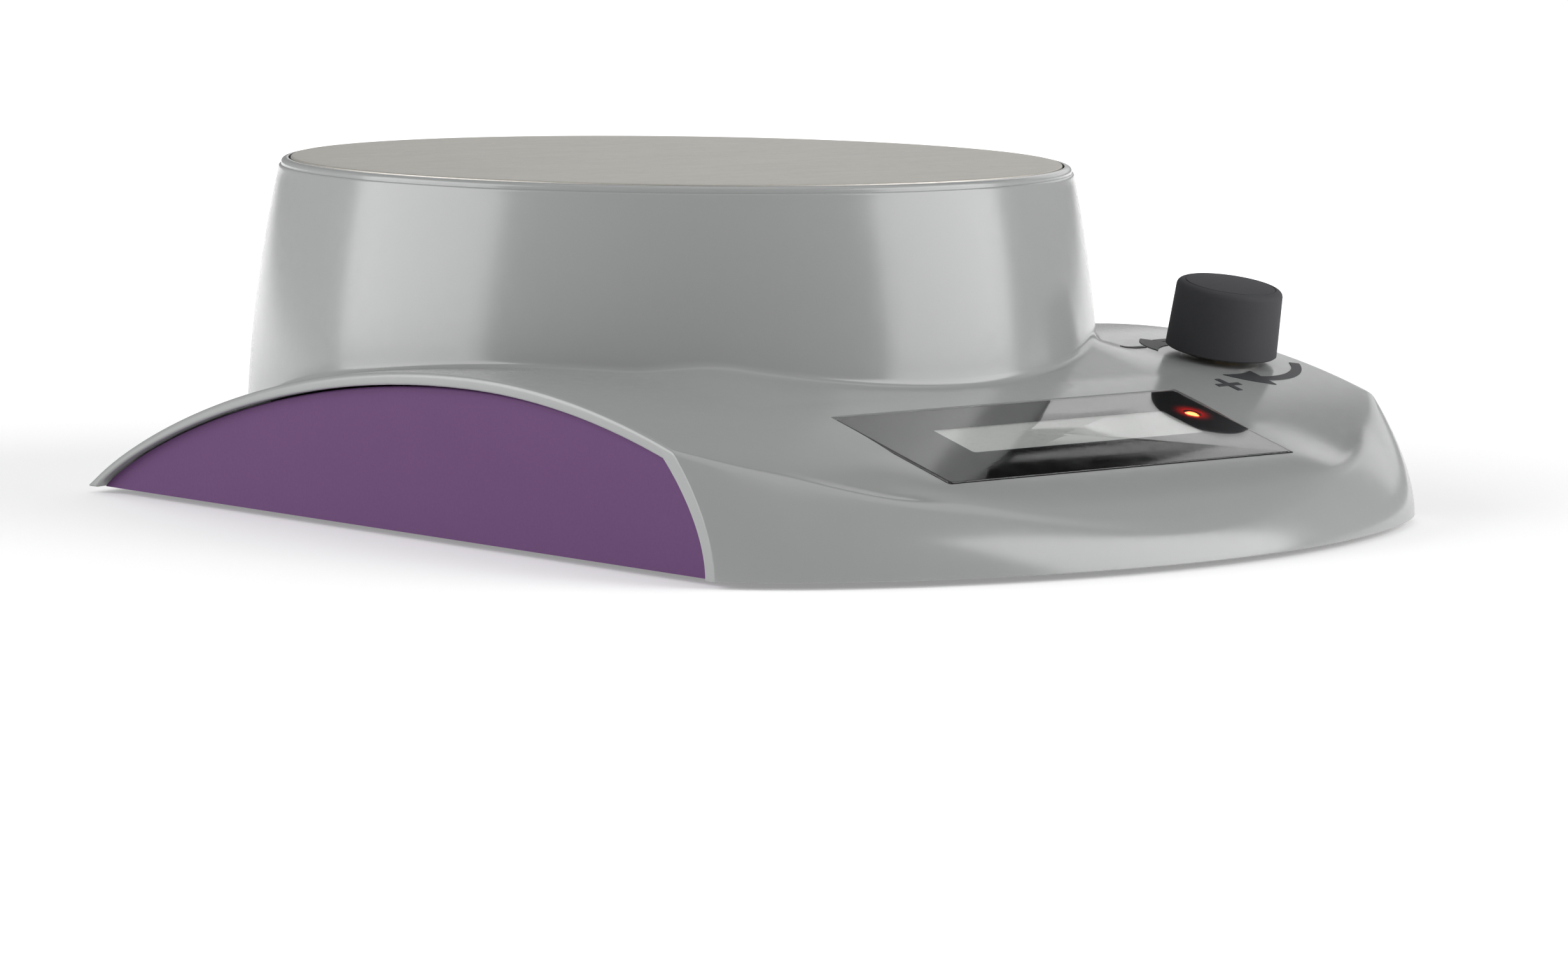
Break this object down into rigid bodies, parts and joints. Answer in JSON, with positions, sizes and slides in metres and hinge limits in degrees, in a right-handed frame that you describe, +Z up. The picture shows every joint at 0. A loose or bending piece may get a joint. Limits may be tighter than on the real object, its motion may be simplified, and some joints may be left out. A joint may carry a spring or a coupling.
{
  "type": "magnetic stirrer",
  "caption": "Compact bench magnetic stirrer: round steel plate on a drum, arched grey housing with purple side panels, tilted display and speed knob.",
  "frame": {"origin": "on the table, under the centre of the bounding box", "axes": "-Y towards the user, +X to the user's right, +Z up"},
  "size_m": [0.1454, 0.1832, 0.0529],
  "materials": {
    "housing": "fine moulded light grey",
    "side_panel": "fine textured purple",
    "plate": "finely brushed stainless steel",
    "core_steel": "pressed electrical steel",
    "bright_steel": "nickel plated",
    "aluminium": "turned",
    "brass": "turned",
    "copper": "enamelled winding",
    "rubber": "matt",
    "dark_plastic": "moulded",
    "pale_plastic": "moulded",
    "knob": "matt dark grey",
    "black_print": "glossy",
    "lens": "clear",
    "display_glass": "pale, unlit",
    "board": "solder mask",
    "red_light": "lit red",
    "wire": "insulation"
  },
  "bodies": {
    "housing": {"top_housing": "housing", "side_panel_left": "side_panel", "side_panel_right": "side_panel", "stirring_plate": "plate", "plate_seal": "rubber", "base_plate": "dark_plastic", "control_lens": "lens", "lens_mask": "black_print", "lcd_bezel": "bright_steel", "lcd_glass": "display_glass", "display_board": "board", "status_led": "red_light", "pot_bushing": "brass", "pot_washer": "bright_steel", "pot_nut": "bright_steel", "pot_case": "dark_plastic", "pot_track": "board", "stator_yoke": "core_steel", "driver_board": "board", "supply_capacitor": "dark_plastic", "power_inductor": "dark_plastic", "driver_chip": "black_print", "coil_header": "pale_plastic", "display_header": "pale_plastic", "dc_jack": "black_print", "jack_pin": "brass", "inlet_lead": "black_print", "coil_lead": "wire", "display_lead": "pale_plastic", "knob_lead": "black_print", "coil_core_1": "core_steel", "coil_bobbin_1": "dark_plastic", "coil_winding_1": "copper", "foot_1": "rubber", "base_screw_1": "bright_steel", "yoke_screw_1": "bright_steel", "coil_core_2": "core_steel", "coil_bobbin_2": "dark_plastic", "coil_winding_2": "copper", "foot_2": "rubber", "base_screw_2": "bright_steel", "yoke_screw_2": "bright_steel", "coil_core_3": "core_steel", "coil_bobbin_3": "dark_plastic", "coil_winding_3": "copper", "foot_3": "rubber", "base_screw_3": "bright_steel", "yoke_screw_3": "bright_steel", "coil_core_4": "core_steel", "coil_bobbin_4": "dark_plastic", "coil_winding_4": "copper", "foot_4": "rubber", "base_screw_4": "bright_steel", "yoke_screw_4": "bright_steel", "board_screw_1": "bright_steel", "board_screw_2": "bright_steel"},
    "knob": {"speed_knob": "knob", "knob_insert": "brass", "pot_shaft": "aluminium", "pot_wiper": "brass"}
  },
  "joints": [
    {"name": "knob_turn", "type": "hinge", "parent": "housing", "child": "knob", "pos_m": [0.0595, -0.0369, 0.02345], "axis": [0, 0.1671, -0.9859], "range_deg": [0, 300]}
  ]
}
